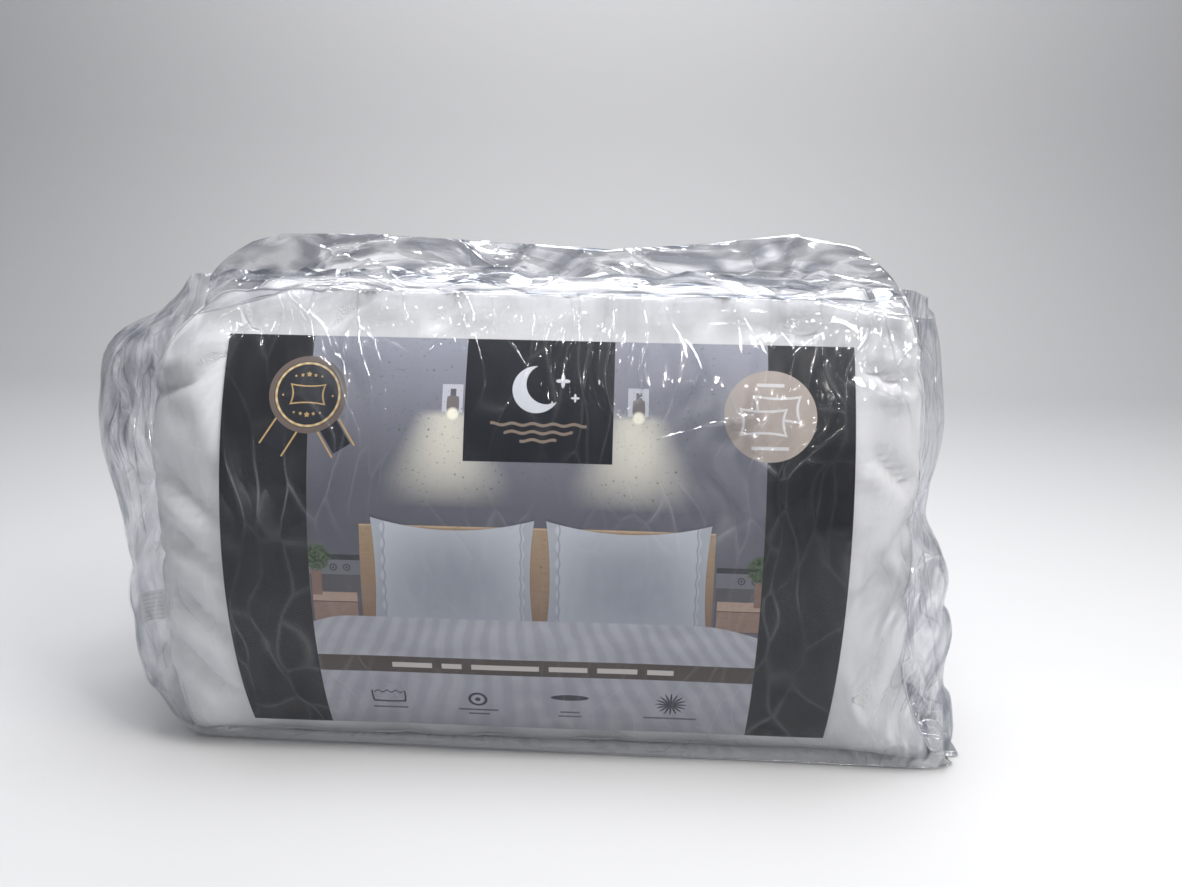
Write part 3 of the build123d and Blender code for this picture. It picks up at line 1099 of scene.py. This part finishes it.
def film_finish(name, haze, creases):
    """Clear film: what shows through it is a little greyed, and its creases and haze catch the light. The
    gloss layer's colour carries painted highlights and shade: light along the creases, light and dark
    streaks where the film is loose, and whiter near the floor.
    """
    material, start, shader = new_material(name)
    place = start.node("ShaderNodeTexCoord", output=3)
    loose = start.node("ShaderNodeAttribute", {"attribute_name": "loose"}, output=2)
    warp = place.node("ShaderNodeTexNoise", (), {"Vector": place, "Scale": 7.0, "Detail": 1.0}, output=1)
    bent = place.node(
        "ShaderNodeVectorMath", {"operation": "MULTIPLY_ADD"}, {0: warp, 1: (0.12, 0.12, 0.12), 2: place})
    patch = place.node("ShaderNodeTexNoise", (), {"Vector": place, "Scale": 9.0, "Detail": 1.0})
    patch = patch.math("MULTIPLY_ADD", 5.0, -2.2, clamp=True) * (loose * 0.75 + 0.25)
    broad = place.node("ShaderNodeTexNoise", (), {"Vector": place, "Scale": 6.5, "Detail": 1.0})
    drawn = bent.node(
        "ShaderNodeMapping", (), {"Vector": bent, "Rotation": (0.5, 0.65, 0.3), "Scale": creases})
    small = drawn.node("ShaderNodeTexNoise", (), {"Vector": drawn, "Scale": 46.0, "Detail": 1.0})
    edge = drawn.node(
        "ShaderNodeTexVoronoi", {"feature": "DISTANCE_TO_EDGE"}, {"Vector": drawn, "Scale": 26.0})
    crease = (1 - edge * 11).clamped() ** 2 * (patch * 0.85 + 0.15)
    ridged = (1 - (small - 0.5).math("ABSOLUTE") * 9).clamped()
    height = broad * (0.8 + loose * 1.8) + crease * 0.26 + ridged * patch * 0.2
    bump = height.node("ShaderNodeBump", (), {"Strength": 0.8, "Distance": 0.01, "Height": height})
    facing = start.node("ShaderNodeLayerWeight", (), {"Blend": 0.5, "Normal": bump}, output=1)
    # Painted light: near the floor the film is made whiter and shinier, which covers the shade under the
    # pillows seen through it
    foot = place.node("ShaderNodeSeparateXYZ", (), {0: place}, output=2)
    foot = foot.math("MULTIPLY_ADD", -1 / FOOT_PAINTED_LIGHT, 1.0, clamp=True)
    shine = facing ** 4 * 0.5 + 0.016 + foot * 0.34
    cloudy = haze * (0.06 + patch * 0.4 + loose * loose * 3.9)
    share = (shine + cloudy + crease * (0.06 + loose * 0.20)).clamped()
    # Painted highlights and shade: the gloss colour is light along the creases and in streaks where the film
    # is loose, and dark between them
    painted_streaks = (small * 4.4 - 1.7 + crease * 0.8).clamped()
    tone = (painted_streaks * loose + (1 - loose) * 0.8 + foot * 0.7).clamped()
    colour = mix(tone, (0.19, 0.21, 0.26, 1), (0.97, 0.98, 1.0, 1))
    feed(start, shader, Base_Color=colour, Metallic=0.75, Roughness=0.09, Normal=bump)
    clear = start.node("ShaderNodeBsdfTransparent", (), {0: (0.955, 0.958, 0.966, 1)})
    gloss = Value(start.tree, shader.outputs[0])
    film = start.node("ShaderNodeMixShader", (), {0: share, 1: clear, 2: gloss})
    start.tree.links.new(film.socket, start.tree.nodes["Material Output"].inputs["Surface"])
    return material


def eased(value, limit, room):
    """Squeezes whatever reaches past a limit on either side into the little room beyond it."""
    past = np.maximum(abs(value) - limit, 0)
    return np.sign(value) * (np.minimum(abs(value), limit) + room * np.tanh(past / room))


def relax(walls, rounds):
    """Evens out a closed sheet's rows and columns, which rounds off its sharpest dents."""
    for _ in range(rounds):
        walls[1:-1] = (walls[:-2] + 2 * walls[1:-1] + walls[2:]) / 4
        walls = (np.roll(walls, 1, axis=1) + 2 * walls + np.roll(walls, -1, axis=1)) / 4
    return walls


def make_film_bag():
    """The whole bag as one shell: walls up from the floor, and a base drawn in under them."""
    contents = np.vstack([coordinates(t) for t in (front_pillow, rear_pillow, printed_card)])
    levels, loops = packed_loops(contents)
    column = np.arange(sum(FILM_COLUMNS))
    edge = np.interp(column, *zip(*EDGE_HEIGHTS))
    walls = []
    for share in np.linspace(0, 1, FILM_LEVELS):
        height = share * edge
        x = [np.interp(h, levels, loops[:, c, 0]) for c, h in enumerate(height)]
        y = [np.interp(h, levels, loops[:, c, 1]) for c, h in enumerate(height)]
        walls.append(np.column_stack([x, y, np.maximum(height, FILM_LOW)]))
    walls = np.array(walls)
    # Slack: both ends stand off the pillows, and the whole wall is crumpled outwards
    reach = abs(walls[..., 0]) / 0.36
    end_share = np.clip((reach - 0.80) / 0.2, 0, 1) ** 1.5
    is_left = walls[..., 0] < 0
    height = walls[..., 2]
    slack = np.where(is_left, np.interp(height, *zip(*LEFT_SLACK)), np.interp(height, *zip(*RIGHT_SLACK)))
    walls[..., 0] += np.where(is_left, -1, 1) * slack * end_share
    run = np.linalg.norm(np.diff(walls[..., :2], axis=1, append=walls[:, :1, :2]), axis=2)
    around = np.broadcast_to(np.cumsum(run[FILM_LEVELS // 2]), height.shape)
    spots = np.column_stack([around.ravel(), height.ravel()])
    over_card = bump_at(walls[..., 0], 0.01, 0.33) * (walls[..., 1] < -0.05) * bump_at(height, 0.2, 0.24)
    ear = end_share * np.where(is_left, 0.012, 0.009) * (1 + 0.6 * bump_at(height, 0.36, 0.08))
    amount = 0.0032 + ear - 0.0022 * over_card
    crumple = 0.8 * facets(spots, (0.11, 0.16), 1.5) + 0.2 * facets(spots, (0.045, 0.06), 4.5)
    crumple += 0.5 * folds(spots, 0.4, 0.12, 2.0) + 0.4 * folds(spots, 2.4, 0.09, 7.0)
    lift = amount * crumple.reshape(height.shape) * np.clip(height / 0.02, 0.1, 1)
    stands_off = np.clip(end_share * slack / 0.025, 0, 1) + 0.5 * bump_at(height, MOUTH_HEIGHT, 0.03)
    loose = np.clip(0.22 + stands_off, 0, 1) * (1 - over_card)
    loose += 0.16 * np.clip((height - 0.2) / 0.12, 0, 1) * over_card
    near = walls[..., 1] < 0
    for x, z, spread, strength in PULLS:
        away = ((walls[..., 0] - x) / spread) ** 2 + ((height - z) / spread) ** 2
        loose += strength * np.exp(-away) * near
        lift += 0.0035 * strength * np.exp(-away) * near * crumple.reshape(height.shape)
    loose = np.clip(loose, 0, 1)
    along = np.roll(walls, -1, axis=1) - np.roll(walls, 1, axis=1)
    up = np.gradient(walls, axis=0)
    outward = np.cross(along, up)
    outward /= np.linalg.norm(outward, axis=2, keepdims=True)
    walls += outward * (lift + FILM_EASE)[..., None]
    pillows = (front_pillow, rear_pillow)
    keep_clear(walls.reshape(-1, 3), pillows, FILM_EASE)
    walls = relax(walls, 1)
    walls[..., 2] = np.maximum(walls[..., 2], FILM_LOW)
    keep_clear(walls.reshape(-1, 3), pillows, 0.0012)
    # The farthest ears are drawn in, so that the bag stays near its true size
    walls[..., 0] = eased(walls[..., 0], cad_high.x + 0.006, 0.022)
    walls[..., 1] = eased(walls[..., 1], cad_high.y + 0.003, 0.010)
    low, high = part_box("insert_card")
    before = (walls[..., 1] < 0) & (walls[..., 2] > low.z - 0.012) & (walls[..., 2] < high.z + 0.012)
    before &= (walls[..., 0] > low.x - 0.012) & (walls[..., 0] < high.x + 0.012)
    ahead = np.minimum(walls[..., 1], card_depth(walls[..., 2]) - 0.0014)
    walls[..., 1] = np.where(before, ahead, walls[..., 1])
    # The base is drawn in to a centre line, where the rows from the front and the back meet
    foot = walls[0].copy()
    foot[:, 2] = FILM_LOW
    mirror = (2 * FILM_COLUMNS[0] + FILM_COLUMNS[1] - column) % len(column)
    line_x = (foot[:, 0] + foot[mirror, 0]) / 2
    base = []
    for share in np.linspace(0, 1, BASE_ROWS, endpoint=False):
        x = foot[:, 0] * share + line_x * (1 - share)
        base.append(np.column_stack([x, foot[:, 1] * share, foot[:, 2]]))
    loose = np.concatenate([np.ones((BASE_ROWS, len(column))), loose])
    shell = lofted_sheet("film_bag", np.concatenate([np.array(base), walls]), True, loose)
    finish_film(shell, 0.035, UPRIGHT_CREASES)
    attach(shell, "bag")
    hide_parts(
        "bag_front_panel", "bag_back_panel", "bag_left_gusset", "bag_right_gusset", "bag_base_gusset")
    return walls


film_walls = make_film_bag()

# Front lip ------------------------------------------------------------------------------------
# The front panel's spare film, which lies back over the pillows' tops in long loose folds and ends
# in a cut edge.
LIP_ROWS = 22
LIP_COLUMNS = slice(6, 146)
LIP_REACH = 0.035


def make_front_lip():
    """Rows of film from the front wall's top edge, back over the front pillow to the cut edge."""
    first = film_walls[-1, LIP_COLUMNS]
    tree = surface_tree(front_pillow)
    across = np.linspace(0, 1, len(first))
    ends = np.clip(np.minimum(across, 1 - across) / 0.10, 0, 1)
    cut = LIP_REACH + 0.010 * np.sin(9 * across) + 0.004 * np.abs(((across * 31) % 2) - 1)
    cut = first[:, 1] + (cut - first[:, 1]) * (0.25 + 0.75 * ends ** 0.7)
    rows = []
    top = first[:, 2].copy()
    for share in np.linspace(0, 1, LIP_ROWS):
        y = first[:, 1] * (1 - share) + cut * share
        for k, (x, depth) in enumerate(zip(first[:, 0], y)):
            hit = tree.ray_cast(Vector((x, depth, 0.7)), Vector((0, 0, -1)))[0]
            if hit is not None:
                top[k] = max(top[k], hit.z + FILM_EASE)
        rows.append(np.column_stack([first[:, 0], y, top]))
    lip = np.array(rows)
    spots = np.column_stack([lip[..., 0].ravel(), lip[..., 1].ravel()])
    loose = folds(spots, 1.45, 0.030, 3.0) * 0.9 + facets(spots, (0.10, 0.03), 6.0) * 0.7
    share = np.linspace(0, 1, LIP_ROWS)[:, None]
    lift = loose.reshape(lip.shape[:2]) * 0.012 * np.clip(share * 4, 0, 1)
    lip[..., 2] += lift + 0.006 * np.sin(share * 3) * ends
    sheet = lofted_sheet("film_front_lip", lip, False, np.ones(lip.shape[:2]))
    finish_film(sheet, 0.05, LEVEL_CREASES)
    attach(sheet, "bag")
    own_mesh(sheet)


make_front_lip()

# Mouth flap -----------------------------------------------------------------------------------
# The back panel's spare height, which stands up behind the mouth and folds over it. Its foot
# belongs to the back wall.
FLAP_ROWS = 14
FLAP_COLUMNS = 150
FLAP_FOOT = 0.437
FLAP_TOPS = (
    (0, 0.482), (0.05, 0.492), (0.2, 0.493), (0.42, 0.487),
    (0.6, 0.481), (0.75, 0.489), (0.9, 0.501), (1, 0.488))
FLAP_WAIST = (0.390, 0.338)


def make_mouth_flap():
    """Rows of film from the fold line up to the flap's uneven top."""
    across = np.linspace(0, 1, FLAP_COLUMNS)
    top = np.interp(across, *zip(*FLAP_TOPS))
    rows = []
    for share in np.linspace(0, 1, FLAP_ROWS):
        half = FLAP_WAIST[0] + (FLAP_WAIST[1] - FLAP_WAIST[0]) * share ** 1.6
        x = (2 * across - 1) * half
        z = FLAP_FOOT + (top - FLAP_FOOT) * share
        rows.append(np.column_stack([x, np.full_like(x, BACK_WALL + FILM_EASE), z]))
    flap = np.array(rows)
    spots = np.column_stack([flap[..., 0].ravel(), flap[..., 2].ravel()])
    loose = folds(spots, 1.4, 0.03, 5.0) + facets(spots, (0.06, 0.03), 8.0)
    share = np.linspace(0, 1, FLAP_ROWS)[:, None]
    flap[..., 1] += (loose.reshape(flap.shape[:2]) - 0.9) * 0.009 * share
    sheet = lofted_sheet("film_mouth_flap", flap[:, ::-1], False, np.ones(flap.shape[:2]))
    finish_film(sheet, 0.09, LEVEL_CREASES)
    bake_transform(sheet)
    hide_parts("mouth_flap")


make_mouth_flap()

# Weld seams -----------------------------------------------------------------------------------
# Narrow heat-sealed beads along the edges of the front and back panels: down one side, along the
# floor and up the other.
WELD_RADIUS = 0.0011


def make_weld(name, node, first, last):
    """The bead round three sides of one panel, which lies between two of the wall's columns."""
    path = np.concatenate([film_walls[::-1, first], film_walls[0, first + 1:last], film_walls[:, last]])
    path[:, 2] = np.maximum(path[:, 2], WELD_RADIUS + FILM_LOW / 2)
    weld = bead(name, path, WELD_RADIUS)
    weld.data.materials.append(film_finish(name + "_finish", 0.30, UPRIGHT_CREASES))
    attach(weld, "bag")
    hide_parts(node)


panel_starts = np.cumsum((0,) + FILM_COLUMNS[:3])
make_weld("front_weld", "front_weld_seam", panel_starts[0], panel_starts[1])
make_weld("back_weld", "back_weld_seam", panel_starts[2], panel_starts[3])
